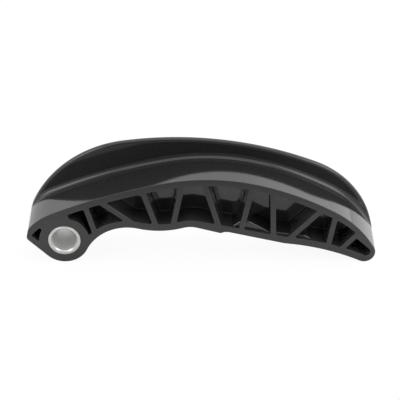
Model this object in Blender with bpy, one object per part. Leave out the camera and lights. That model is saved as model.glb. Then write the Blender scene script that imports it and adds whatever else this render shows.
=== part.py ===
"""Timing chain guide: a moulded rail with a guard wall along its far edge, and the metal sleeve of its pivot.

Metres, +Z up. The rail runs along X and its depth along Y, from the near face at y = 0 to the far face. Its
drawing is set out in X and Z from the pivot axis, which is at x = 0, and from the surface that boss and nose
stand on, at z = 0. The finished pieces are then moved so that the origin lies under the middle of the box.
"""
import math

import bmesh
import bpy
from mathutils import Matrix, Vector

# Rail
RAIL_DEPTH = 0.0235
EDGE_RADIUS = 0.0004
BOSS_RADIUS = 0.0111
NOSE_DISTANCE = 0.13245  # from the pivot axis, along the rail
NOSE_RADIUS = 0.0050
TOE_DISTANCE = 0.0168  # from the pivot axis, the other way
ARCH_HEIGHT = 0.0420  # of the running face over the surface that boss and nose stand on

# Guard wall along the far edge
GUARD_THICKNESS = 0.0030
GUARD_FILLET = 0.0030
FILLET_SHARE = 0.6  # of the wall's height, where the wall is too low for the whole fillet

# Lattice under the running face
RUNNING_BAND = 0.0036
SOLE = 0.0033
END_WALL = 0.0029
WEB_POCKET_DEPTH = 0.0117  # from the near face to the web
WEB_THICKNESS = 0.0020
RIB = 0.0024
END_RIB = 0.0021
BOSS_SADDLE = 0.0137  # solid stretch that ties the boss to the running band
POCKET_CORNER = 0.0005

# Stiffener over the tensioner pad
STIFFENER_SETBACK = 0.0015
STIFFENER_EDGE = 0.0008

# Pivot sleeve
SLEEVE_OD = 0.0145
SLEEVE_BORE = 0.0108
SLEEVE_CHAMFER = 0.00055
SLEEVE_OUTER_CHAMFER = 0.0002
FIT_GAP = 0.0003  # between the sleeve and the bore that it is pressed into

# How finely round shapes are drawn
ARC_TOLERANCE = 0.00002
TURN_STEPS = 56
EDGE_STEPS = 2
FILLET_STEPS = 5
ROUND_STEPS = 4
SAME_PLACE = 0.00005
CUT_MARGIN = 0.001
SHARP_TURN = math.radians(30)

PIVOT = Vector((0, BOSS_RADIUS))
NOSE = Vector((NOSE_DISTANCE, NOSE_RADIUS))


def heading(degrees):
    """Unit vector at this angle from +X in the drawing."""
    return Vector((math.cos(math.radians(degrees)), math.sin(math.radians(degrees))))


def corner_round(centre, radius, arriving, leaving):
    """The corner that a circle about a centre rounds off between two headings, in degrees, turning left."""
    half_turn = (leaving - arriving) / 2
    spread = radius / math.cos(math.radians(half_turn))
    return (*(centre + spread * heading(arriving + half_turn - 90)), radius)


def placed(corners):
    """Corners in metres from those of a drawing in millimetres, which shows the nose at 132.45 and the arch 42 high.

    They are stretched to the sizes set above, on one side of the pivot to the nose and on the other to the toe.
    """
    stretched = []
    for x, z, radius in corners:
        reach = NOSE_DISTANCE / 132.45 if x > 0 else TOE_DISTANCE / 16.8
        stretched.append((x * reach, z * ARCH_HEIGHT / 42, radius * NOSE_DISTANCE / 132.45))
    return stretched


def outline_corners(with_pad_lip):
    """Side view of the rail without its guard wall: (x, z, radius) corners in turn, starting at the toe.

    The lip that locates the tensioner is on the outside only, so the lattice leaves it out.
    """
    sole = [(16.75, 20.55, 20.4), (43.1, 14.75, 45), (55.5, 18.35, 13)]
    lip = [(69, 14.75, 1), (70.7, 15.35, 1), (72.5, 15.3, 2)]
    sole_end = [(97.1, 9.55, 6), (116.1, 7.25, 105)]
    running_face = [
        (129.8, 19.8, 49),
        (101.65, 35.12, 127.8),
        (65.21, 44.22, 94.9),
        (19.3, 35.08, 251.4),
        (-10.76, 22.4, 32.2),
        (-15.8, 16.9, 4),
    ]
    return [
        *placed([(-16.8, 12, 2.5)]),
        corner_round(PIVOT, BOSS_RADIUS, -43.5, 63.8),
        *placed(sole + (lip if with_pad_lip else []) + sole_end),
        corner_round(NOSE, NOSE_RADIUS, -24, 120),
        *placed(running_face),
    ]


# Walls left outside the lattice, one for each of its edges in turn, starting at the toe
LATTICE_WALLS = [END_WALL] + [SOLE] * 6 + [END_WALL] + [RUNNING_BAND] * 5


def crown_corners():
    """The guard wall's crown from the toe to the nose, where it runs into the outline."""
    arch = [(-15.9, 15.9, 0), (-15.1, 18.3, 8), (-1.2, 45.56, 53), (69.91, 55.65, 163), (132.51, 29.84, 44)]
    end = NOSE_DISTANCE + NOSE_RADIUS
    return [*placed(arch), (end, 1.32 * NOSE_RADIUS, 0.8 * NOSE_RADIUS), (end, NOSE_RADIUS, 0)]


def ribs():
    """From the boss to the nose: x where each stands on the sole, x where it meets the running band, thickness."""
    drawn = [
        (13.54, 10.2, RIB),
        (29, 17.8, RIB),
        (40.5, 35.4, RIB),
        (48.5, 52.1, RIB),
        (68, 62.3, RIB),
        (78.4, 82.6, RIB),
        (92.3, 91.7, RIB),
        (100.4, 113.1, END_RIB),
        (117.2, 119.6, END_RIB),
        (123.6, 129.8, END_RIB),
    ]
    stretch = NOSE_DISTANCE / 132.45
    return [(foot * stretch, head * stretch, thickness) for foot, head, thickness in drawn]


def stiffener_corners():
    """Side view of the ridge over the tensioner pad."""
    foot = [(74.2, 16, 0), (85, 13.6, 0), (97, 11, 0), (111, 9.2, 0)]
    ridge = [(108.9, 13.1, 1.5), (91, 15.45, 5), (80.5, 20.65, 4), (75.3, 20.8, 1.5)]
    return placed(foot + ridge)


def arc_steps(radius, turn):
    """How many straight pieces draw an arc to within the tolerance."""
    piece = 2 * math.acos(1 - min(ARC_TOLERANCE / radius, 0.5))
    return max(1, math.ceil(abs(turn) / piece))


def rounded(corners, closed=True):
    """Points of an outline of (x, z, radius) corners. A radius gives way where its two edges are too short."""
    points = [Vector(corner[:2]) for corner in corners]
    count = len(points)
    turns = []
    tangents = []
    for i, (x, z, radius) in enumerate(corners):
        arriving = (points[i] - points[i - 1]).normalized()
        leaving = (points[(i + 1) % count] - points[i]).normalized()
        turn = math.atan2(arriving.x * leaving.y - arriving.y * leaving.x, arriving.dot(leaving))
        at_end = not closed and i in (0, count - 1)
        turns.append(0 if at_end else turn)
        tangents.append(0 if at_end else radius * abs(math.tan(turn / 2)))
    drawn = []
    for i, (x, z, radius) in enumerate(corners):
        if tangents[i] == 0:
            drawn.append(points[i])
            continue
        room = 1
        for j in (i - 1, (i + 1) % count):
            room = min(room, (points[j] - points[i]).length / (tangents[i] + tangents[j]))
        reach = tangents[i] * room
        radius = radius * room
        arriving = (points[i] - points[i - 1]).normalized()
        side = Vector((-arriving.y, arriving.x)) * math.copysign(1, turns[i])
        start = points[i] - arriving * reach
        centre = start + side * radius
        steps = arc_steps(radius, turns[i])
        for k in range(steps + 1):
            swung = Matrix.Rotation(turns[i] * k / steps, 2) @ (start - centre)
            drawn.append(centre + swung)
    return without_repeats(drawn, closed)


def without_repeats(points, closed=True):
    """The same points without those that lie on the one before."""
    kept = points[:1]
    for p in points[1:]:
        if (p - kept[-1]).length > SAME_PLACE:
            kept.append(p)
    if closed and (kept[0] - kept[-1]).length <= SAME_PLACE:
        kept.pop()
    return kept


def outward(points):
    """Unit vector at each point of a closed outline, away from what it encloses."""
    vectors = []
    for i in range(len(points)):
        before = (points[i] - points[i - 1]).normalized()
        after = (points[(i + 1) % len(points)] - points[i]).normalized()
        along = (before + after).normalized()
        vectors.append(Vector((along.y, -along.x)))
    return vectors


def crossing(p, along, q, other):
    """How far from p two lines cross, in lengths of their vectors: along the first and the second."""
    spread = along.x * other.y - along.y * other.x
    if abs(spread) < 1e-15:
        return None
    gap = q - p
    return ((gap.x * other.y - gap.y * other.x) / spread, (gap.x * along.y - gap.y * along.x) / spread)


def inset(corners, walls):
    """Corners of the outline that leaves these walls inside the given one."""
    count = len(corners)
    points = [Vector(corner[:2]) for corner in corners]
    moved = []
    for i, (x, z, radius) in enumerate(corners):
        arriving = (points[i] - points[i - 1]).normalized()
        leaving = (points[(i + 1) % count] - points[i]).normalized()
        before = points[i] + Vector((-arriving.y, arriving.x)) * walls[i - 1]
        after = points[i] + Vector((-leaving.y, leaving.x)) * walls[i]
        place = before + arriving * crossing(before, arriving, after, leaving)[0]
        wall = (walls[i - 1] + walls[i]) / 2
        turns_left = arriving.x * leaving.y - arriving.y * leaving.x > 0
        moved.append((*place, max(radius - wall, 0) if turns_left else radius + wall))
    return moved


def lattice_outline():
    """Outline of the space that the ribs divide, which comes to a point in the toe."""
    corners = outline_corners(False)
    toe, boss, *rest, high, low = [Vector(corner[:2]) for corner in corners]
    tip = toe + (toe - boss) * crossing(toe, toe - boss, low, low - high)[0]
    return rounded(inset([(*tip, 0), *corners[1:-1]], LATTICE_WALLS))


def left_of(points, start, end):
    """The part of a closed outline that lies to the left of the line from start to end."""
    along = end - start

    def side(p):
        return along.x * (p.y - start.y) - along.y * (p.x - start.x)

    kept = []
    for i, p in enumerate(points):
        q = points[(i + 1) % len(points)]
        if side(p) >= 0:
            kept.append(p)
        if side(p) * side(q) < 0:
            kept.append(p.lerp(q, side(p) / (side(p) - side(q))))
    return kept


def clear_of_circle(points, centre, radius):
    """A closed outline with the bite that a circle takes out of it, where the circle crosses it twice."""
    first = next(i for i, p in enumerate(points) if (p - centre).length > radius)
    points = points[first:] + points[:first]
    kept = []
    entry = None
    for p, q in zip(points, points[1:] + points[:1]):
        if (p - centre).length >= radius:
            kept.append(p)
        for t in sorted(circle_crossings(p, q, centre, radius)):
            place = p.lerp(q, t) - centre
            if entry is None:
                entry = place
                continue
            turn = entry.angle_signed(place)
            turn = -abs(turn) if abs(turn) < math.pi else turn
            steps = arc_steps(radius, turn)
            for k in range(steps + 1):
                kept.append(centre + Matrix.Rotation(turn * k / steps, 2) @ entry)
            entry = None
    return without_repeats(kept)


def circle_crossings(p, q, centre, radius):
    """Shares of the way from p to q at which the line crosses a circle."""
    along = q - p
    out = p - centre
    a = along.dot(along)
    b = out.dot(along)
    c = out.dot(out) - radius * radius
    root = b * b - a * c
    if root <= 0:
        return []
    root = math.sqrt(root)
    return [t for t in ((-b - root) / a, (-b + root) / a) if 0 < t <= 1]


def soft_cornered(points, radius):
    """A closed outline with its sharp corners rounded, and its curves as they are."""
    count = len(points)
    sharp = []
    for i in range(count):
        before = points[i] - points[i - 1]
        after = points[(i + 1) % count] - points[i]
        sharp.append(before.angle(after) > SHARP_TURN)
    reach = 3 * radius
    corners = [points[i] for i in range(count) if sharp[i]]
    kept = []
    for i, p in enumerate(points):
        if sharp[i]:
            kept.append((*p, radius))
        elif all((p - corner).length > reach for corner in corners):
            kept.append((*p, 0))
    return rounded(kept)


def heights_at(points, x):
    """Lowest and highest place where a closed outline crosses an x."""
    found = []
    for p, q in zip(points, points[1:] + points[:1]):
        if (p.x - x) * (q.x - x) < 0:
            found.append(p.lerp(q, (x - p.x) / (q.x - p.x)).y)
    return min(found), max(found)


def rib_sides(lattice):
    """Left and right side of the boss saddle and of each rib, as lines that run upward from the sole."""
    along_saddle = heading(114.5)
    lines = [(PIVOT, PIVOT + along_saddle, BOSS_SADDLE)]
    for foot_x, head_x, thickness in ribs():
        foot = Vector((foot_x, heights_at(lattice, foot_x)[0]))
        head = Vector((head_x, heights_at(lattice, head_x)[1]))
        lines.append((foot, head, thickness))
    sides = []
    for foot, head, thickness in lines:
        along = (head - foot).normalized()
        half = Vector((along.y, -along.x)) * thickness / 2
        sides.append(((foot - half, head - half), (foot + half, head + half)))
    return sides


def pocket_outlines():
    """Outlines of the lattice's pockets, from the toe to the nose."""
    lattice = lattice_outline()
    sides = rib_sides(lattice)
    pockets = []
    for i in range(len(sides) + 1):
        pocket = lattice
        if i > 0:
            foot, head = sides[i - 1][1]
            pocket = left_of(pocket, head, foot)
        if i < len(sides):
            foot, head = sides[i][0]
            pocket = left_of(pocket, foot, head)
        if any((p - PIVOT).length < BOSS_RADIUS for p in pocket):
            pocket = clear_of_circle(pocket, PIVOT, BOSS_RADIUS)
        pockets.append(soft_cornered(without_repeats(pocket), POCKET_CORNER))
    return pockets


def quarter(steps):
    """Sine and cosine at even steps from 0 to 90 degrees."""
    angles = [math.pi / 2 * k / steps for k in range(steps + 1)]
    return [(math.sin(a), math.cos(a)) for a in angles]


def skin_section(height):
    """Line across the rail's skin where the guard wall is this high: (distance off the outline, depth) pairs."""
    face = RAIL_DEPTH - GUARD_THICKNESS
    fillet = min(GUARD_FILLET, FILLET_SHARE * height)
    front = min(GUARD_THICKNESS / 2, height - fillet)
    back = EDGE_RADIUS + (GUARD_THICKNESS / 2 - EDGE_RADIUS) * min(1, height / GUARD_THICKNESS)
    section = [(-EDGE_RADIUS * (1 - s), EDGE_RADIUS * (1 - c)) for s, c in quarter(EDGE_STEPS)]
    section += [(fillet * (1 - c), face - fillet * (1 - s)) for s, c in quarter(FILLET_STEPS)]
    section += [(height - front * (1 - s), face + front * (1 - c)) for s, c in quarter(ROUND_STEPS)]
    section += [(height - back * (1 - c), RAIL_DEPTH - back * (1 - s)) for s, c in quarter(ROUND_STEPS)]
    return section


def wall_height(point, normal, crown):
    """How far the guard wall's crown lies above a point of the outline, or 0 where there is no wall."""
    for p, q in zip(crown, crown[1:]):
        met = crossing(point, normal, p, q - p)
        if met and met[0] > 0 and -1e-6 <= met[1] <= 1 + 1e-6 and met[0] < 2 * RAIL_DEPTH:
            return met[0]
    return 0


def rail_rings():
    """Rings of the rail's outer skin from the near face to the far one."""
    points = rounded(outline_corners(True))
    crown = rounded(crown_corners(), closed=False)
    rings = None
    for point, normal in zip(points, outward(points)):
        section = skin_section(wall_height(point, normal, crown))
        rings = rings or [[] for step in section]
        for ring, (off, depth) in zip(rings, section):
            place = point + normal * off
            ring.append((place.x, depth, place.y))
    return rings


def flat_ring(points, depth):
    """An outline of the drawing, at one depth."""
    return [(p.x, depth, p.y) for p in points]


def add_loft(mesh, rings):
    """Adds a closed body through rings of as many points each, from near to far, with flat ends."""
    loops = [[mesh.verts.new(place) for place in ring] for ring in rings]
    count = len(loops[0])
    for near, far in zip(loops, loops[1:]):
        for i in range(count):
            j = (i + 1) % count
            mesh.faces.new((near[i], far[i], far[j], near[j]))
    mesh.faces.new(loops[0])
    mesh.faces.new(reversed(loops[-1]))


def make_object(name, mesh, material=None):
    """Turns a bmesh into an object of the scene, moved so that the origin lies under the middle of the rail."""
    bmesh.ops.remove_doubles(mesh, verts=mesh.verts, dist=1e-7)
    outline = rounded(outline_corners(True))
    middle = (min(p.x for p in outline) + max(p.x for p in outline)) / 2
    lowest = min(p.y for p in outline)
    bmesh.ops.translate(mesh, verts=mesh.verts, vec=(-middle, -RAIL_DEPTH / 2, -lowest))
    data = bpy.data.meshes.new(name)
    mesh.to_mesh(data)
    mesh.free()
    data.shade_smooth()
    data.set_sharp_from_angle(angle=SHARP_TURN)
    made = bpy.data.objects.new(name, data)
    bpy.context.scene.collection.objects.link(made)
    if material:
        data.materials.append(material)
    return made


def make_material(name, colour, roughness, metallic):
    """A Principled material."""
    material = bpy.data.materials.new(name)
    material.use_nodes = True
    shader = material.node_tree.nodes["Principled BSDF"]
    shader.inputs["Base Color"].default_value = (*colour, 1)
    shader.inputs["Roughness"].default_value = roughness
    shader.inputs["Metallic"].default_value = metallic
    return material


def combine(target, tool, operation):
    """Cuts a tool out of the target, or joins it on. The tool stays as a guide that isn't rendered."""
    modifier = target.modifiers.new(tool.name, "BOOLEAN")
    modifier.operation = operation
    modifier.solver = "EXACT"
    modifier.object = tool
    tool.hide_render = True
    tool.display_type = "WIRE"


def pocket_tool(name, near, far):
    """All pockets of one side of the web as one cutter."""
    mesh = bmesh.new()
    for pocket in pocket_outlines():
        add_loft(mesh, [flat_ring(pocket, near), flat_ring(pocket, far)])
    return make_object(name, mesh)


def bore_tool():
    """The hole through the boss that the sleeve is pressed into."""
    mesh = bmesh.new()
    radius = SLEEVE_OD / 2 + FIT_GAP
    circle = [PIVOT + radius * heading(360 * k / TURN_STEPS) for k in range(TURN_STEPS)]
    add_loft(mesh, [flat_ring(circle, -CUT_MARGIN), flat_ring(circle, RAIL_DEPTH + CUT_MARGIN)])
    return make_object("bore_cutter", mesh)


def stiffener_tool():
    """Ridge on the sole's inner side over the tensioner pad, set back from both faces."""
    points = rounded(stiffener_corners())
    normals = outward(points)
    near = []
    for s, c in quarter(EDGE_STEPS):
        drawn_in = STIFFENER_EDGE * (1 - s)
        ring = [p - n * drawn_in for p, n in zip(points, normals)]
        near.append((ring, STIFFENER_SETBACK + STIFFENER_EDGE * (1 - c)))
    far = [(ring, RAIL_DEPTH - depth) for ring, depth in reversed(near)]
    mesh = bmesh.new()
    add_loft(mesh, [flat_ring(ring, depth) for ring, depth in near + far])
    return make_object("stiffener_guide", mesh)


def make_rail():
    """The moulding: its skin, less the pockets on both sides of the web and the bore, with the stiffener."""
    plastic = make_material("black_engine_plastic", (0.011, 0.011, 0.011), 0.2, 0)
    mesh = bmesh.new()
    add_loft(mesh, rail_rings())
    rail = make_object("rail_body", mesh, plastic)
    combine(rail, pocket_tool("near_pockets_cutter", -CUT_MARGIN, WEB_POCKET_DEPTH), "DIFFERENCE")
    far_side = WEB_POCKET_DEPTH + WEB_THICKNESS
    combine(rail, pocket_tool("far_pockets_cutter", far_side, RAIL_DEPTH + CUT_MARGIN), "DIFFERENCE")
    combine(rail, stiffener_tool(), "UNION")
    combine(rail, bore_tool(), "DIFFERENCE")
    return rail


def make_sleeve():
    """The turned sleeve: a tube with a chamfer at each mouth and a small one outside."""
    steel = make_material("plain_steel", (0.6, 0.6, 0.61), 0.3, 1)
    outer = SLEEVE_OD / 2
    bore = SLEEVE_BORE / 2
    profile = [
        (outer, SLEEVE_OUTER_CHAMFER),
        (outer, RAIL_DEPTH - SLEEVE_OUTER_CHAMFER),
        (outer - SLEEVE_OUTER_CHAMFER, RAIL_DEPTH),
        (bore + SLEEVE_CHAMFER, RAIL_DEPTH),
        (bore, RAIL_DEPTH - SLEEVE_CHAMFER),
        (bore, SLEEVE_CHAMFER),
        (bore + SLEEVE_CHAMFER, 0),
        (outer - SLEEVE_OUTER_CHAMFER, 0),
    ]
    mesh = bmesh.new()
    corners = [mesh.verts.new((PIVOT.x + radius, depth, PIVOT.y)) for radius, depth in profile]
    edges = [mesh.edges.new((corners[i - 1], corners[i])) for i in range(len(corners))]
    axis_point = Vector((PIVOT.x, 0, PIVOT.y))
    bmesh.ops.spin(mesh, geom=corners + edges, cent=axis_point, axis=(0, 1, 0), angle=math.tau,
                   steps=TURN_STEPS, use_duplicate=False)
    bmesh.ops.remove_doubles(mesh, verts=mesh.verts, dist=1e-6)
    bmesh.ops.recalc_face_normals(mesh, faces=mesh.faces)
    return make_object("pivot_sleeve", mesh, steel)


for old in list(bpy.data.objects):
    bpy.data.objects.remove(old, do_unlink=True)
make_rail()
make_sleeve()
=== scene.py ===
"""Timing chain guide on a pale floor in soft studio light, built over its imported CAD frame."""
import math

import bmesh
import bpy
from mathutils import Matrix, Vector


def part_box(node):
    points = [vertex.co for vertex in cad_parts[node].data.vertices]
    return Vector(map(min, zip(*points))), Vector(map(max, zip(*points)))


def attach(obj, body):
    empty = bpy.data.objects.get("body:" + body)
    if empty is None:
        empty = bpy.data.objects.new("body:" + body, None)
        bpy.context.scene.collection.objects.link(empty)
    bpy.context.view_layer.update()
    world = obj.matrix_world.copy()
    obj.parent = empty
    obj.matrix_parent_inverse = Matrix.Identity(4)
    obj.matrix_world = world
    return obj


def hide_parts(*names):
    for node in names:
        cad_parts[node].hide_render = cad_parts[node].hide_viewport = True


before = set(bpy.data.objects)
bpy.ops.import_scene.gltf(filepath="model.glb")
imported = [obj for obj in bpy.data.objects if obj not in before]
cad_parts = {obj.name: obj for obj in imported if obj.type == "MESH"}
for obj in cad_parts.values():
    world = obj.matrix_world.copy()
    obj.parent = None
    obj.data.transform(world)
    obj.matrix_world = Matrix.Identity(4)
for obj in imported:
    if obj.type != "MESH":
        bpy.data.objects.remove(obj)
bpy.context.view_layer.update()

# Camera: a long lens that looks down on the open side of the rail, as the photograph does.
AIM = Vector((-0.00061, -0.01175, 0.03182))
DISTANCE = 0.7782
PITCH = math.radians(30.6)
FOCAL_LENGTH = 160.83

lens = bpy.data.cameras.new("camera")
lens.lens = FOCAL_LENGTH
lens.sensor_width = 36
lens.clip_start = 0.01
camera = bpy.data.objects.new("camera", lens)
camera.location = AIM + DISTANCE * Vector((0, -math.cos(PITCH), math.sin(PITCH)))
camera.rotation_euler = (math.pi / 2 - PITCH, 0, 0)
bpy.context.scene.collection.objects.link(camera)
bpy.context.scene.camera = camera
bpy.context.scene.view_settings.view_transform = "Standard"


# Studio: a white sweep behind and above the object, brighter to the right, and a dim room in front of it with
# lit walls at its sides. The camera sees white all round.
FRONT_LEVEL = 0.2
SIDE_WALL_LEVEL = 1.2
BELOW_LEVEL = 0.55
CEILING_LEVEL = 0.8
REAR_LEVEL = 1.2
REAR_HIGH_LEVEL = 1.5
RIGHT_SHARE = 0.6

# Where one level gives way to the next, in the X, Y or Z of a direction of length 1
SIDE_WALLS_X = (0.2, 0.45)
HORIZON_Z = (-0.1, 0.1)
CEILING_Z = (0.75, 0.8)
REAR_CLIMB_Z = (0.1, 0.5)
RIGHT_X = (0.12, 0.55)
REAR_Y = (-0.25, 0.35)

# Watts per square metre at which an area lamp is as bright as a world of strength 1
LAMP_POWER = 4


def set_inputs(tree, node, inputs):
    """Sets a node's inputs to values, or links them from other nodes' outputs."""
    for key, value in inputs.items():
        if isinstance(value, bpy.types.NodeSocket):
            tree.links.new(value, node.inputs[key])
        else:
            node.inputs[key].default_value = value


def add_node(tree, kind, settings=None, inputs=None):
    """Adds a node with its settings and its inputs."""
    made = tree.nodes.new(kind)
    for name, value in (settings or {}).items():
        setattr(made, name, value)
    set_inputs(tree, made, inputs or {})
    return made


def crossfade(tree, value, span, low, high, curve="SMOOTHSTEP"):
    """Output that goes from low to high while a value crosses a span."""
    return add_node(tree, "ShaderNodeMapRange", {"interpolation_type": curve}, {
        "Value": value, "From Min": span[0], "From Max": span[1], "To Min": low, "To Max": high}).outputs["Result"]


world = bpy.data.worlds.new("studio")
world.use_nodes = True
bpy.context.scene.world = world
tree = world.node_tree
tree.nodes.clear()
way = add_node(tree, "ShaderNodeTexCoord")
parts = add_node(tree, "ShaderNodeSeparateXYZ", None, {0: way.outputs["Generated"]})
aside = add_node(tree, "ShaderNodeMath", {"operation": "ABSOLUTE"}, {0: parts.outputs["X"]})
ahead = crossfade(tree, aside.outputs[0], SIDE_WALLS_X, FRONT_LEVEL, SIDE_WALL_LEVEL)
low = crossfade(tree, parts.outputs["Z"], HORIZON_Z, BELOW_LEVEL, ahead)
front = crossfade(tree, parts.outputs["Z"], CEILING_Z, low, CEILING_LEVEL)
rear = crossfade(tree, parts.outputs["Z"], REAR_CLIMB_Z, REAR_LEVEL, REAR_HIGH_LEVEL)
right = crossfade(tree, parts.outputs["X"], RIGHT_X, 0, RIGHT_SHARE)
sweep = add_node(tree, "ShaderNodeMath", {"operation": "ADD"}, {0: rear, 1: right})
behind = crossfade(tree, parts.outputs["Y"], REAR_Y, 0, 1)
room = add_node(tree, "ShaderNodeMix", None, {0: behind, 2: front, 3: sweep.outputs[0]})
path = add_node(tree, "ShaderNodeLightPath")
seen = add_node(tree, "ShaderNodeMath", {"operation": "MAXIMUM"}, {
    0: path.outputs["Is Camera Ray"], 1: path.outputs["Is Transmission Ray"]})
level = add_node(tree, "ShaderNodeMix", None, {0: seen.outputs["Value"], 2: room.outputs[0], 3: 1.0})
sky = add_node(tree, "ShaderNodeBackground", None, {"Color": (1, 1, 1, 1), "Strength": level.outputs[0]})
add_node(tree, "ShaderNodeOutputWorld", None, {"Surface": sky.outputs["Background"]})


def softbox(name, azimuth, elevation, distance, width, height, radiance):
    """Area lamp that faces the object, hidden from the camera. Azimuth 0 is in front and 90 on the right."""
    lamp = bpy.data.lights.new(name, "AREA")
    lamp.shape = "RECTANGLE"
    lamp.size = width
    lamp.size_y = height
    lamp.energy = LAMP_POWER * radiance * width * height
    turn = math.radians(azimuth)
    rise = math.radians(elevation)
    place = distance * Vector((math.sin(turn) * math.cos(rise), -math.cos(turn) * math.cos(rise), math.sin(rise)))
    held = bpy.data.objects.new(name, lamp)
    held.location = place
    held.rotation_euler = (-place).to_track_quat("-Z", "Y").to_euler()
    held.visible_camera = False
    bpy.context.scene.collection.objects.link(held)


softbox("top_softbox", 0, 88, 1.2, 1.2, 1.0, 0.5)
softbox("left_softbox", -60, 41, 1.3, 0.7, 0.6, 2.0)
softbox("right_softbox", 64, 41, 1.3, 0.8, 0.6, 2.1)
softbox("front_softbox", 0, 56, 1.4, 1.2, 0.5, 0.65)


# Floor: flat matt white paper that ends a few centimetres in front of the object and carries its shadow. To the
# camera most of it glows, so that it is nearly as white as the background.
FLOOR_REACH = 1.5
FLOOR_FRONT = -0.062
GLOW_SHARE = 0.93


def linear(code):
    """An sRGB hex colour as linear red, green, blue and alpha."""
    parts = [int(code[i : i + 2], 16) / 255 for i in (1, 3, 5)]
    return (*[p / 12.92 if p <= 0.04045 else ((p + 0.055) / 1.055) ** 2.4 for p in parts], 1)


mesh = bpy.data.meshes.new("floor")
floor_corners = [
    (-FLOOR_REACH, FLOOR_FRONT, 0),
    (FLOOR_REACH, FLOOR_FRONT, 0),
    (FLOOR_REACH, FLOOR_REACH, 0),
    (-FLOOR_REACH, FLOOR_REACH, 0),
]
mesh.from_pydata(floor_corners, [], [(0, 1, 2, 3)])
floor = bpy.data.objects.new("floor", mesh)
bpy.context.scene.collection.objects.link(floor)
paper = bpy.data.materials.new("matt white paper")
paper.use_nodes = True
tree = paper.node_tree
tree.nodes.clear()
matt = add_node(tree, "ShaderNodeBsdfDiffuse", None, {"Color": linear("#e8e8e8")})
glow = add_node(tree, "ShaderNodeEmission", None, {"Color": (1, 1, 1, 1), "Strength": 1})
path = add_node(tree, "ShaderNodeLightPath")
share = add_node(tree, "ShaderNodeMath", {"operation": "MULTIPLY"}, {
    0: path.outputs["Is Camera Ray"], 1: GLOW_SHARE})
mixed = add_node(tree, "ShaderNodeMixShader", None, {
    0: share.outputs["Value"], 1: matt.outputs[0], 2: glow.outputs[0]})
add_node(tree, "ShaderNodeOutputMaterial", None, {"Surface": mixed.outputs[0]})
mesh.materials.append(paper)


# Rail: one injection moulding in glossy glass-filled PA66, as it leaves the tool. The chain runs over its convex
# upper side, beside the crescent guard wall that grows out of it through a fillet. Under it a lattice of ribs
# stands on both sides of a web, and its pocket edges and roots have the small radii of the tool.
RAIL_DEPTH = 0.0235
EDGE_RADIUS = 0.0003
BOSS_RADIUS = 0.0111
NOSE_DISTANCE = 0.13245
NOSE_RADIUS = 0.0050
TOE_DISTANCE = 0.0168
ARCH_HEIGHT = 0.0420
GUARD_THICKNESS = 0.0030
GUARD_FILLET = 0.0025
RUNNING_BAND = 0.0032
SOLE = 0.0033
END_WALL = 0.0027
NOSE_WALL = 0.0022
NEAR_POCKET_DEPTH = 0.0117
WEB_THICKNESS = 0.0020
RIB = 0.0024
END_RIB = 0.0023
BOSS_SADDLE = 0.0137
POCKET_CORNER = 0.0005
POCKET_MOUTH = 0.00022
POCKET_ROOT = 0.0004
STIFFENER_SETBACK = 0.0015
STIFFENER_EDGE = 0.0009
SEAT_RADIUS = 0.00727
SEAT_MOUTH = 0.00012
SADDLE_HEADING = 114.5
NOSE_SIDE_HEADING = 47

# The nose's distance, the toe's and the arch's height in the drawing, in millimetres
DRAWN_NOSE = 132.45
DRAWN_TOE = 16.8
DRAWN_ARCH = 42

ARC_TOLERANCE = 0.000002
EDGE_STEPS = 4
FILLET_STEPS = 14
ROUND_STEPS = 10
SEAT_STEPS = 160
SAME_PLACE = 0.00005
ROUNDING_ERROR = 1e-15
CORNER_SLACK = 1e-6
DRAWN_WELD = 1e-7
WELD = 1e-6
CUT_MARGIN = 0.001
INSIDE_THE_FACETS = 0.99994
SHARP_TURN = math.radians(30)

PIVOT = Vector((0, BOSS_RADIUS))
NOSE = Vector((NOSE_DISTANCE, NOSE_RADIUS))


def heading(degrees):
    """Unit vector at this angle from +X in the drawing."""
    return Vector((math.cos(math.radians(degrees)), math.sin(math.radians(degrees))))


def corner_round(centre, radius, arriving, leaving):
    """The corner that a circle about a centre rounds off between two headings, in degrees, turning left."""
    half_turn = (leaving - arriving) / 2
    spread = radius / math.cos(math.radians(half_turn))
    return (*(centre + spread * heading(arriving + half_turn - 90)), radius)


def placed(corners):
    """Corners in metres from those of the drawing in millimetres.

    They are stretched to the sizes set above, on one side of the pivot to the nose and on the other to the toe.
    """
    stretched = []
    for x, z, radius in corners:
        reach = NOSE_DISTANCE / DRAWN_NOSE if x > 0 else TOE_DISTANCE / DRAWN_TOE
        stretched.append((x * reach, z * ARCH_HEIGHT / DRAWN_ARCH, radius * NOSE_DISTANCE / DRAWN_NOSE))
    return stretched


def outline_corners(with_pad_lip):
    """Side view of the rail without its guard wall: (x, z, radius) corners in turn, starting at the toe.

    The lip that locates the tensioner is on the outside only, so the lattice leaves it out.
    """
    sole = [(16.75, 20.55, 20.4), (43.1, 14.75, 45), (55.5, 18.35, 13)]
    lip = [(69, 14.75, 1), (70.7, 15.35, 1), (72.5, 15.3, 2)]
    sole_end = [(97.1, 9.55, 6), (116.1, 7.25, 105)]
    running_face = [
        (129.8, 19.8, 49),
        (101.65, 35.12, 127.8),
        (65.21, 44.22, 94.9),
        (19.3, 35.08, 251.4),
        (-10.76, 22.4, 32.2),
        (-15.8, 16.9, 4),
    ]
    return [
        *placed([(-16.8, 12, 2.5)]),
        corner_round(PIVOT, BOSS_RADIUS, -43.5, 63.8),
        *placed(sole + (lip if with_pad_lip else []) + sole_end),
        corner_round(NOSE, NOSE_RADIUS, -24, 120),
        *placed(running_face),
    ]


# Walls left outside the lattice, one for each of its edges in turn, starting at the toe
LATTICE_WALLS = [END_WALL] + [SOLE] * 6 + [NOSE_WALL] + [RUNNING_BAND] * 5


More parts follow.
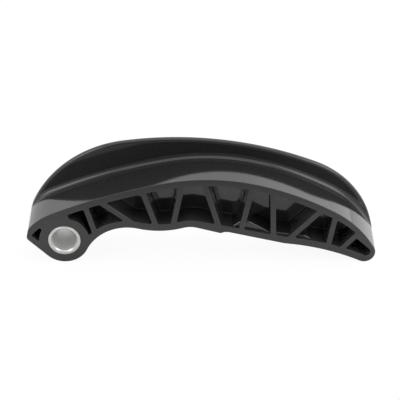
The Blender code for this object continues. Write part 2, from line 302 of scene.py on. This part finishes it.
def crown_corners():
    """The guard wall's crown from the toe to the nose, where it runs into the outline."""
    arch = [
        (-15.9, 15.9, 0),
        (-15.15, 18.6, 8),
        (-1.2, 45.75, 53),
        (69.91, 55.09, 163),
        (132.65, 30.38, 42.6),
    ]
    end = NOSE_DISTANCE + NOSE_RADIUS
    return [*placed(arch), (end, 1.32 * NOSE_RADIUS, 0.8 * NOSE_RADIUS), (end, NOSE_RADIUS, 0)]


def ribs():
    """From the boss to the nose: x where each stands on the sole, x where it meets the running band, thickness."""
    drawn = [
        (13.34, 10.0, RIB),
        (28.7, 17.3, RIB),
        (40.3, 35.2, RIB),
        (48.3, 51.95, RIB),
        (67.85, 62.1, RIB),
        (78.2, 82.45, RIB),
        (92.25, 91.7, RIB),
        (100, 112.35, RIB),
        (116.75, 119.15, END_RIB),
        (123.1, 129.2, END_RIB),
    ]
    stretch = NOSE_DISTANCE / DRAWN_NOSE
    return [(foot * stretch, head * stretch, thickness) for foot, head, thickness in drawn]


def stiffener_corners():
    """Side view of the ridge over the tensioner pad, which tapers at both ends like a boat."""
    foot = [(74.2, 16, 0), (85, 13.6, 0), (97, 11, 0), (110, 9, 0)]
    nose_end = [(109.8, 10.5, 0), (107.8, 12.1, 2), (106, 12.8, 3)]
    boss_end = [(90.5, 14.9, 6), (81.2, 20.2, 3), (77.6, 20.2, 2), (74, 17.6, 1)]
    return placed(foot + nose_end + boss_end)


def arc_steps(radius, turn):
    """How many straight pieces draw an arc to within the tolerance."""
    piece = 2 * math.acos(1 - min(ARC_TOLERANCE / radius, 0.5))
    return max(1, math.ceil(abs(turn) / piece))


def rounded(corners, closed=True):
    """Points of an outline of (x, z, radius) corners. A radius gives way where its two edges are too short."""
    points = [Vector(corner[:2]) for corner in corners]
    count = len(points)
    turns = []
    tangents = []
    for i, (_, _, radius) in enumerate(corners):
        arriving = (points[i] - points[i - 1]).normalized()
        leaving = (points[(i + 1) % count] - points[i]).normalized()
        turn = math.atan2(arriving.x * leaving.y - arriving.y * leaving.x, arriving.dot(leaving))
        at_end = not closed and i in (0, count - 1)
        turns.append(0 if at_end else turn)
        tangents.append(0 if at_end else radius * abs(math.tan(turn / 2)))
    drawn = []
    for i, (_, _, radius) in enumerate(corners):
        if tangents[i] == 0:
            drawn.append(points[i])
            continue
        room = 1
        for j in (i - 1, (i + 1) % count):
            room = min(room, (points[j] - points[i]).length / (tangents[i] + tangents[j]))
        reach = tangents[i] * room
        radius = radius * room
        arriving = (points[i] - points[i - 1]).normalized()
        side = Vector((-arriving.y, arriving.x)) * math.copysign(1, turns[i])
        start = points[i] - arriving * reach
        centre = start + side * radius
        steps = arc_steps(radius, turns[i])
        for k in range(steps + 1):
            swung = Matrix.Rotation(turns[i] * k / steps, 2) @ (start - centre)
            drawn.append(centre + swung)
    return without_repeats(drawn, closed)


def without_repeats(points, closed=True):
    """The same points without those that lie on the one before."""
    kept = points[:1]
    for p in points[1:]:
        if (p - kept[-1]).length > SAME_PLACE:
            kept.append(p)
    if closed and (kept[0] - kept[-1]).length <= SAME_PLACE:
        kept.pop()
    return kept


def outward(points):
    """Unit vector at each point of a closed outline, away from what it encloses."""
    vectors = []
    for i in range(len(points)):
        before = (points[i] - points[i - 1]).normalized()
        after = (points[(i + 1) % len(points)] - points[i]).normalized()
        along = (before + after).normalized()
        vectors.append(Vector((along.y, -along.x)))
    return vectors


def crossing(p, along, q, other):
    """How far from p and q two lines cross, in lengths of their vectors, or None where they are parallel."""
    spread = along.x * other.y - along.y * other.x
    if abs(spread) < ROUNDING_ERROR:
        return None
    gap = q - p
    return ((gap.x * other.y - gap.y * other.x) / spread, (gap.x * along.y - gap.y * along.x) / spread)


def inset(corners, walls):
    """Corners of the outline that leaves these walls inside the given one."""
    count = len(corners)
    points = [Vector(corner[:2]) for corner in corners]
    moved = []
    for i, (_, _, radius) in enumerate(corners):
        arriving = (points[i] - points[i - 1]).normalized()
        leaving = (points[(i + 1) % count] - points[i]).normalized()
        before = points[i] + Vector((-arriving.y, arriving.x)) * walls[i - 1]
        after = points[i] + Vector((-leaving.y, leaving.x)) * walls[i]
        place = before + arriving * crossing(before, arriving, after, leaving)[0]
        wall = (walls[i - 1] + walls[i]) / 2
        turns_left = arriving.x * leaving.y - arriving.y * leaving.x > 0
        moved.append((*place, max(radius - wall, 0) if turns_left else radius + wall))
    return moved


def lattice_outline():
    """Outline of the space that the ribs divide, which comes to a point in the toe."""
    corners = outline_corners(with_pad_lip=False)
    toe, boss, *_, high, low = [Vector(corner[:2]) for corner in corners]
    tip = toe + (toe - boss) * crossing(toe, toe - boss, low, low - high)[0]
    return rounded(inset([(*tip, 0), *corners[1:-1]], LATTICE_WALLS))


def left_of(points, start, end):
    """The part of a closed outline that lies to the left of the line from start to end."""
    along = end - start

    def side(p):
        return along.x * (p.y - start.y) - along.y * (p.x - start.x)

    kept = []
    for i, p in enumerate(points):
        q = points[(i + 1) % len(points)]
        if side(p) >= 0:
            kept.append(p)
        if side(p) * side(q) < 0:
            kept.append(p.lerp(q, side(p) / (side(p) - side(q))))
    return kept


def clear_of_circle(points, centre, radius):
    """A closed outline with the bite that a circle takes out of it, where the circle crosses it twice."""
    first = next(i for i, p in enumerate(points) if (p - centre).length > radius)
    points = points[first:] + points[:first]
    kept = []
    entry = None
    for p, q in zip(points, points[1:] + points[:1]):
        if (p - centre).length >= radius:
            kept.append(p)
        for t in sorted(circle_crossings(p, q, centre, radius)):
            place = p.lerp(q, t) - centre
            if entry is None:
                entry = place
                continue
            turn = entry.angle_signed(place)
            turn = -abs(turn) if abs(turn) < math.pi else turn
            steps = arc_steps(radius, turn)
            for k in range(steps + 1):
                kept.append(centre + Matrix.Rotation(turn * k / steps, 2) @ entry)
            entry = None
    return without_repeats(kept)


def circle_crossings(p, q, centre, radius):
    """Shares of the way from p to q at which the line crosses a circle."""
    along = q - p
    out = p - centre
    a = along.dot(along)
    b = out.dot(along)
    c = out.dot(out) - radius * radius
    root = b * b - a * c
    if root <= 0:
        return []
    root = math.sqrt(root)
    return [t for t in ((-b - root) / a, (-b + root) / a) if 0 < t <= 1]


def soft_cornered(points, radius):
    """A closed outline with its sharp corners rounded, and its curves as they are."""
    count = len(points)
    sharp = []
    for i in range(count):
        before = points[i] - points[i - 1]
        after = points[(i + 1) % count] - points[i]
        sharp.append(before.angle(after) > SHARP_TURN)
    reach = 3 * radius
    corners = [points[i] for i in range(count) if sharp[i]]
    kept = []
    for i, p in enumerate(points):
        if sharp[i]:
            kept.append((*p, radius))
        elif all((p - corner).length > reach for corner in corners):
            kept.append((*p, 0))
    return rounded(kept)


def heights_at(points, x):
    """Lowest and highest place where a closed outline crosses an x."""
    found = []
    for p, q in zip(points, points[1:] + points[:1]):
        if (p.x - x) * (q.x - x) < 0:
            found.append(p.lerp(q, (x - p.x) / (q.x - p.x)).y)
    return min(found), max(found)


def rib_sides(lattice):
    """Left and right side of the boss saddle and of each rib, as lines that run upward from the sole."""
    lines = [(PIVOT, PIVOT + heading(SADDLE_HEADING), BOSS_SADDLE)]
    for foot_x, head_x, thickness in ribs():
        foot = Vector((foot_x, heights_at(lattice, foot_x)[0]))
        head = Vector((head_x, heights_at(lattice, head_x)[1]))
        lines.append((foot, head, thickness))
    sides = []
    for foot, head, thickness in lines:
        along = (head - foot).normalized()
        half = Vector((along.y, -along.x)) * thickness / 2
        sides.append(((foot - half, head - half), (foot + half, head + half)))
    return sides


def pocket_outlines():
    """Outlines of the lattice's pockets, from the toe to the nose."""
    lattice = lattice_outline()
    sides = rib_sides(lattice)
    pockets = []
    for i in range(len(sides) + 1):
        pocket = lattice
        if i > 0:
            foot, head = sides[i - 1][1]
            pocket = left_of(pocket, head, foot)
        if i < len(sides):
            foot, head = sides[i][0]
            pocket = left_of(pocket, foot, head)
        else:
            nose_side = NOSE + (NOSE_RADIUS - NOSE_WALL) * heading(NOSE_SIDE_HEADING)
            pocket = left_of(pocket, nose_side, nose_side + heading(NOSE_SIDE_HEADING + 90))
        if any((p - PIVOT).length < BOSS_RADIUS for p in pocket):
            pocket = clear_of_circle(pocket, PIVOT, BOSS_RADIUS)
        pockets.append(soft_cornered(without_repeats(pocket), POCKET_CORNER))
    return pockets


def swing(steps, sweep=math.pi / 2):
    """Sine and cosine at even steps from 0 to an angle, a right one unless it is given."""
    angles = [sweep * k / steps for k in range(steps + 1)]
    return [(math.sin(a), math.cos(a)) for a in angles]


def skin_section(height):
    """Line across the rail's skin where the guard wall is this high: (distance off the outline, depth) pairs.

    The fillet starts at the same depth all along. Where the wall is low, the fillet turns over into the crown
    before it stands upright.
    """
    foot = RAIL_DEPTH - GUARD_THICKNESS - GUARD_FILLET
    front = GUARD_THICKNESS / 2
    sweep = math.acos(max(0, 1 - height / (GUARD_FILLET + front)))
    top = foot + (GUARD_FILLET + front) * math.sin(sweep)
    back = EDGE_RADIUS + (GUARD_THICKNESS / 2 - EDGE_RADIUS) * min(1, height / GUARD_THICKNESS)
    section = [(-EDGE_RADIUS * (1 - s), EDGE_RADIUS * (1 - c)) for s, c in swing(EDGE_STEPS)]
    section += [(GUARD_FILLET * (1 - c), foot + GUARD_FILLET * s) for s, c in swing(FILLET_STEPS, sweep)]
    section += [(height - front * (1 - c), top - front * s) for s, c in reversed(swing(ROUND_STEPS, sweep))]
    section += [(height - back * (1 - c), RAIL_DEPTH - back * (1 - s)) for s, c in swing(ROUND_STEPS)]
    return section


def wall_height(point, normal, crown):
    """How far the guard wall's crown lies above a point of the outline, or 0 where there is no wall.

    The slack lets a line through a corner of the crown meet one of its pieces.
    """
    for p, q in zip(crown, crown[1:]):
        met = crossing(point, normal, p, q - p)
        if met and 0 < met[0] < 2 * RAIL_DEPTH and -CORNER_SLACK <= met[1] <= 1 + CORNER_SLACK:
            return met[0]
    return 0


def rail_rings():
    """Rings of the rail's outer skin from the near face to the far one."""
    points = rounded(outline_corners(with_pad_lip=True))
    crown = rounded(crown_corners(), closed=False)
    rings = None
    for point, normal in zip(points, outward(points)):
        section = skin_section(wall_height(point, normal, crown))
        rings = rings or [[] for _ in section]
        for ring, (off, depth) in zip(rings, section):
            place = point + normal * off
            ring.append((place.x, depth, place.y))
    return rings


def flat_ring(points, depth):
    """An outline of the drawing, at one depth."""
    return [(p.x, depth, p.y) for p in points]


def add_loft(mesh, rings):
    """Adds a closed body through rings of as many points each, from near to far, with flat ends."""
    loops = [[mesh.verts.new(place) for place in ring] for ring in rings]
    count = len(loops[0])
    for near, far in zip(loops, loops[1:]):
        for i in range(count):
            j = (i + 1) % count
            mesh.faces.new((near[i], far[i], far[j], near[j]))
    mesh.faces.new(loops[0])
    mesh.faces.new(reversed(loops[-1]))


def place_mesh(name, mesh):
    """Turns a bmesh into an object with the origin under the rail's middle, a hair smaller than the CAD's facets."""
    bmesh.ops.remove_doubles(mesh, verts=mesh.verts, dist=DRAWN_WELD)
    outline = rounded(outline_corners(with_pad_lip=True))
    middle = (min(p.x for p in outline) + max(p.x for p in outline)) / 2
    lowest = min(p.y for p in outline)
    bmesh.ops.translate(mesh, verts=mesh.verts, vec=(-middle, -RAIL_DEPTH / 2, -lowest))
    data = bpy.data.meshes.new(name)
    mesh.to_mesh(data)
    mesh.free()
    data.transform(Matrix.Scale(INSIDE_THE_FACETS, 4))
    made = bpy.data.objects.new(name, data)
    bpy.context.scene.collection.objects.link(made)
    return made


def drafted_rings(points, steps):
    """Rings from an outline at (distance off it, depth) steps."""
    normals = outward(points)
    return [flat_ring([p + n * off for p, n in zip(points, normals)], depth) for off, depth in steps]


def rounded_mouth(radius):
    """Steps of a cut from outside the near face inward, through a rounded mouth."""
    return [(radius, -CUT_MARGIN)] + [(radius * (1 - s), radius * (1 - c)) for s, c in swing(EDGE_STEPS)]


def pocket_steps(reach):
    """Steps of a pocket from outside the near face inward: a rounded mouth, straight sides and a rounded root."""
    root = [(-POCKET_ROOT * (1 - c), reach - POCKET_ROOT * (1 - s)) for s, c in swing(EDGE_STEPS)]
    return rounded_mouth(POCKET_MOUTH) + root


def from_far_side(steps):
    """The same steps from the far face, in order from near to far."""
    return [(off, RAIL_DEPTH - depth) for off, depth in reversed(steps)]


def apply_modifiers(target):
    """Gives an object the mesh that its modifiers make, and takes them off."""
    bpy.context.view_layer.update()
    graph = bpy.context.evaluated_depsgraph_get()
    made = bpy.data.meshes.new_from_object(
        target.evaluated_get(graph), preserve_all_data_layers=True, depsgraph=graph)
    target.modifiers.clear()
    target.data = made


def welded(data):
    """A bmesh of a mesh, without its doubled points."""
    mesh = bmesh.new()
    mesh.from_mesh(data)
    bmesh.ops.remove_doubles(mesh, verts=mesh.verts, dist=WELD)
    return mesh


def write_back(mesh, data):
    """Turns a bmesh back into a mesh that is shaded smooth but for its sharp edges."""
    mesh.to_mesh(data)
    mesh.free()
    data.shade_smooth()
    data.set_sharp_from_angle(angle=SHARP_TURN)


near_steps = pocket_steps(NEAR_POCKET_DEPTH)
far_steps = from_far_side(pocket_steps(RAIL_DEPTH - NEAR_POCKET_DEPTH - WEB_THICKNESS))
near_pockets = bmesh.new()
far_pockets = bmesh.new()
for pocket in pocket_outlines():
    add_loft(near_pockets, drafted_rings(pocket, near_steps))
    add_loft(far_pockets, drafted_rings(pocket, far_steps))

seat = bmesh.new()
seat_circle = [PIVOT + SEAT_RADIUS * heading(360 * k / SEAT_STEPS) for k in range(SEAT_STEPS)]
seat_mouth = rounded_mouth(SEAT_MOUTH)
add_loft(seat, drafted_rings(seat_circle, seat_mouth + from_far_side(seat_mouth)))

stiffener = bmesh.new()
ridge = [(-STIFFENER_EDGE * (1 - s), STIFFENER_SETBACK + STIFFENER_EDGE * (1 - c)) for s, c in swing(ROUND_STEPS)]
add_loft(stiffener, drafted_rings(rounded(stiffener_corners()), ridge + from_far_side(ridge)))

# The pockets' walls and floors and the sleeve seat get a second copy of the same PA66 whose colour is painted
# lighter: painted light that lifts the shade in the pockets.
plastic = bpy.data.materials.new("glossy moulded PA66")
pocket_plastic_painted_light = bpy.data.materials.new("PA66 painted lighter in the pockets")

moulding = bmesh.new()
add_loft(moulding, rail_rings())
rail = place_mesh("rail", moulding)
rail.data.materials.append(plastic)
tools = [
    (place_mesh("near_pockets", near_pockets), "DIFFERENCE"),
    (place_mesh("far_pockets", far_pockets), "DIFFERENCE"),
    (place_mesh("stiffener", stiffener), "UNION"),
    (place_mesh("sleeve_seat", seat), "DIFFERENCE"),
]
for tool, operation in tools:
    tool.data.materials.append(pocket_plastic_painted_light if operation == "DIFFERENCE" else plastic)
    cut = rail.modifiers.new(tool.name, "BOOLEAN")
    cut.material_mode = "TRANSFER"
    cut.operation = operation
    cut.solver = "EXACT"
    cut.object = tool
apply_modifiers(rail)
for tool, _ in tools:
    bpy.data.objects.remove(tool, do_unlink=True)

clean = welded(rail.data)
bmesh.ops.dissolve_degenerate(clean, edges=clean.edges, dist=WELD)
bmesh.ops.triangulate(clean, faces=[face for face in clean.faces if len(face.verts) > 4])
write_back(clean, rail.data)
weighted = rail.modifiers.new("flat faces keep their shade", "WEIGHTED_NORMAL")
weighted.keep_sharp = True
weighted.weight = 100
apply_modifiers(rail)

# What makes the moulding's skin a little uneven: how far apart it is and how deep, in metres
FIBRE = 0.0006
FIBRE_STRETCH = (0.35, 1, 1)
FIBRE_RELIEF = 0.0000003
WAVE = 0.009
WAVE_RELIEF = 0.00001

SKIN_ROUGHNESS = (0.075, 0.105)
PARTING_FACE_ROUGHNESS = 0.36
PARTING_FACE_DEPTH = 0.00005
PLASTIC_IOR = 1.5
NOISE_SPAN = (0.3, 0.7)


def noise(tree, where, size, detail, roughness=0.5):
    """Output of a noise with features of about this size, in metres."""
    return add_node(tree, "ShaderNodeTexNoise", None, {
        "Vector": where, "Scale": 1 / size, "Detail": detail, "Roughness": roughness}).outputs[0]


def moulded_plastic(material, dark, light):
    """Black PA66 with short glass fibres, moulded against polished steel.

    Fibres at the skin make tone and gloss a little uneven, and shrinkage over the ribs makes the faces very
    slightly wavy. The near face lies on the tool's parting face, which is ground and not polished.
    """
    material.use_nodes = True
    tree = material.node_tree
    shader = tree.nodes["Principled BSDF"]
    where = add_node(tree, "ShaderNodeTexCoord")
    flow = add_node(tree, "ShaderNodeMapping", None, {0: where.outputs["Object"], "Scale": FIBRE_STRETCH})
    fibres = noise(tree, flow.outputs[0], FIBRE, 3, 0.6)
    waves = noise(tree, where.outputs["Object"], WAVE, 1)
    tone = add_node(tree, "ShaderNodeMix", {"data_type": "RGBA"}, {0: fibres, 6: linear(dark), 7: linear(light)})
    gloss = crossfade(tree, fibres, NOISE_SPAN, *SKIN_ROUGHNESS, "LINEAR")
    depth = add_node(tree, "ShaderNodeSeparateXYZ", None, {0: where.outputs["Object"]})
    ground = add_node(tree, "ShaderNodeMath", {"operation": "LESS_THAN"}, {
        0: depth.outputs["Y"], 1: PARTING_FACE_DEPTH - RAIL_DEPTH / 2})
    finish = add_node(tree, "ShaderNodeMix", None, {0: ground.outputs[0], 2: gloss, 3: PARTING_FACE_ROUGHNESS})
    sink = add_node(tree, "ShaderNodeBump", None, {"Height": waves, "Strength": 1, "Distance": WAVE_RELIEF})
    skin = add_node(tree, "ShaderNodeBump", None, {
        "Height": fibres, "Strength": 1, "Distance": FIBRE_RELIEF, "Normal": sink.outputs[0]})
    set_inputs(tree, shader, {
        "IOR": PLASTIC_IOR,
        "Base Color": tone.outputs[2],
        "Roughness": finish.outputs[0],
        "Normal": skin.outputs[0],
    })


moulded_plastic(plastic, "#1c1c1d", "#232324")
# The pocket copy is painted lighter than the outside: painted light in the pockets, not a different plastic.
moulded_plastic(pocket_plastic_painted_light, "#29292a", "#303031")
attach(rail, "root")
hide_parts("rail_body")


# Sleeve: a steel bush turned from bar, faced at both ends and pressed into the boss. Its bore takes the pivot bolt,
# and each mouth has a turned chamfer with its edges just broken.
SLEEVE_OD = 0.0145
SLEEVE_BORE = 0.0108
SLEEVE_CHAMFER = 0.00055
SLEEVE_OUTER_CHAMFER = 0.0002
BROKEN_EDGE = 0.00006
BROKEN_EDGE_STEPS = 3

FEED = 0.00012
GROOVE = 0.0000015
CLOUD = 0.004
TURNED_ROUGHNESS = (0.22, 0.34)
BORE_EXTRA_ROUGHNESS = 0.45
BORE_MARGIN = 0.00004

steel = bpy.data.materials.new("turned steel")
steel.use_nodes = True
tree = steel.node_tree
shader = tree.nodes["Principled BSDF"]
where = add_node(tree, "ShaderNodeTexCoord")
place = add_node(tree, "ShaderNodeSeparateXYZ", None, {0: where.outputs["Object"]})
box_low, box_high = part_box("pivot_sleeve")
axis_x = (box_low[0] + box_high[0]) / 2
axis_z = (box_low[2] + box_high[2]) / 2
off_x = add_node(tree, "ShaderNodeMath", {"operation": "SUBTRACT"}, {0: place.outputs["X"], 1: axis_x})
off_z = add_node(tree, "ShaderNodeMath", {"operation": "SUBTRACT"}, {0: place.outputs["Z"], 1: axis_z})
flat = add_node(tree, "ShaderNodeCombineXYZ", None, {0: off_x.outputs[0], 1: off_z.outputs[0]})
reach = add_node(tree, "ShaderNodeVectorMath", {"operation": "LENGTH"}, {0: flat.outputs[0]})
turned = add_node(tree, "ShaderNodeCombineXYZ", None, {0: reach.outputs["Value"], 1: place.outputs["Y"]})
marks = noise(tree, turned.outputs[0], FEED, 2)
cloud = noise(tree, where.outputs["Object"], CLOUD, 2)
tone = add_node(tree, "ShaderNodeMix", {"data_type": "RGBA"}, {0: cloud, 6: linear("#ababa9"), 7: linear("#bdbdbb")})
shine = crossfade(tree, marks, NOISE_SPAN, *TURNED_ROUGHNESS, "LINEAR")
# Inside the bore the steel's colour is painted lighter, as painted light in the bore, and the bore is also rougher.
deep = add_node(tree, "ShaderNodeMath", {"operation": "LESS_THAN"}, {
    0: reach.outputs["Value"], 1: SLEEVE_BORE / 2 + BORE_MARGIN})
painted_lit_bore_tone = add_node(tree, "ShaderNodeMix", {"data_type": "RGBA"}, {
    0: deep.outputs[0], 6: tone.outputs[2], 7: linear("#cfcfcd")})
rough = add_node(tree, "ShaderNodeMath", {"operation": "MULTIPLY_ADD"}, {
    0: deep.outputs[0], 1: BORE_EXTRA_ROUGHNESS, 2: shine})
grooves = add_node(tree, "ShaderNodeBump", None, {"Height": marks, "Strength": 1, "Distance": GROOVE})
set_inputs(tree, shader, {
    "Metallic": 1,
    "Base Color": painted_lit_bore_tone.outputs[2],
    "Roughness": rough.outputs[0],
    "Normal": grooves.outputs[0],
})

sizes = {
    "Outside": SLEEVE_OD,
    "Bore": SLEEVE_BORE,
    "Length": RAIL_DEPTH * INSIDE_THE_FACETS,
    "Mouth chamfer": SLEEVE_CHAMFER,
    "Outer chamfer": SLEEVE_OUTER_CHAMFER,
    "Broken edge": BROKEN_EDGE,
}
turning = bpy.data.node_groups.new("turned sleeve", "GeometryNodeTree")
for name in sizes:
    turning.interface.new_socket(name, in_out="INPUT", socket_type="NodeSocketFloat")
turning.interface.new_socket("Geometry", in_out="OUTPUT", socket_type="NodeSocketGeometry")
given = turning.nodes.new("NodeGroupInput")


def maths(operation, first, second):
    """The result of one sum on two numbers or outputs of the turning tree."""
    return add_node(turning, "ShaderNodeMath", {"operation": operation}, {0: first, 1: second}).outputs[0]


outside = maths("DIVIDE", given.outputs["Outside"], 2.0)
inside = maths("DIVIDE", given.outputs["Bore"], 2.0)
middle = maths("DIVIDE", maths("ADD", outside, inside), 2.0)
wall = maths("SUBTRACT", outside, inside)
line = add_node(turning, "GeometryNodeCurvePrimitiveQuadrilateral", {"mode": "RECTANGLE"}, {
    0: wall, 1: given.outputs["Length"]})
corner = add_node(turning, "GeometryNodeInputPosition")
corner_parts = add_node(turning, "ShaderNodeSeparateXYZ", None, {0: corner.outputs[0]})
is_inner = add_node(turning, "FunctionNodeCompare", {"data_type": "FLOAT", "operation": "LESS_THAN"}, {
    0: corner_parts.outputs["X"], 1: 0.0})
chamfer = add_node(turning, "GeometryNodeSwitch", {"input_type": "FLOAT"}, {
    "Switch": is_inner.outputs[0], "False": given.outputs["Outer chamfer"], "True": given.outputs["Mouth chamfer"]})
faced = add_node(turning, "GeometryNodeFilletCurve", {"mode": "POLY"}, {
    "Curve": line.outputs[0], "Count": 1, "Radius": chamfer.outputs[0], "Limit Radius": True})
broken = add_node(turning, "GeometryNodeFilletCurve", {"mode": "POLY"}, {
    "Curve": faced.outputs[0],
    "Count": BROKEN_EDGE_STEPS,
    "Radius": given.outputs["Broken edge"],
    "Limit Radius": True,
})
spin = add_node(turning, "GeometryNodeCurvePrimitiveCircle", {"mode": "RADIUS"}, {
    "Resolution": SEAT_STEPS, "Radius": middle})
swept = add_node(turning, "GeometryNodeCurveToMesh", None, {0: spin.outputs[0], "Profile Curve": broken.outputs[0]})
whole = add_node(turning, "GeometryNodeRealizeInstances", None, {0: swept.outputs[0]})
coated = add_node(turning, "GeometryNodeSetMaterial", None, {0: whole.outputs[0], "Material": steel})
add_node(turning, "NodeGroupOutput", None, {0: coated.outputs[0]})

sleeve = bpy.data.objects.new("sleeve", bpy.data.meshes.new("sleeve"))
bpy.context.scene.collection.objects.link(sleeve)
lathe = sleeve.modifiers.new("turning", "NODES")
lathe.node_group = turning
for socket in turning.interface.items_tree:
    if socket.in_out == "INPUT":
        lathe[socket.identifier] = sizes[socket.name]
apply_modifiers(sleeve)
sleeve.data.transform(Matrix.Translation((axis_x, 0, axis_z)) @ Matrix.Rotation(math.pi / 2, 4, "X"))
clean = welded(sleeve.data)
bmesh.ops.recalc_face_normals(clean, faces=clean.faces)
write_back(clean, sleeve.data)
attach(sleeve, "root")
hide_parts("pivot_sleeve")
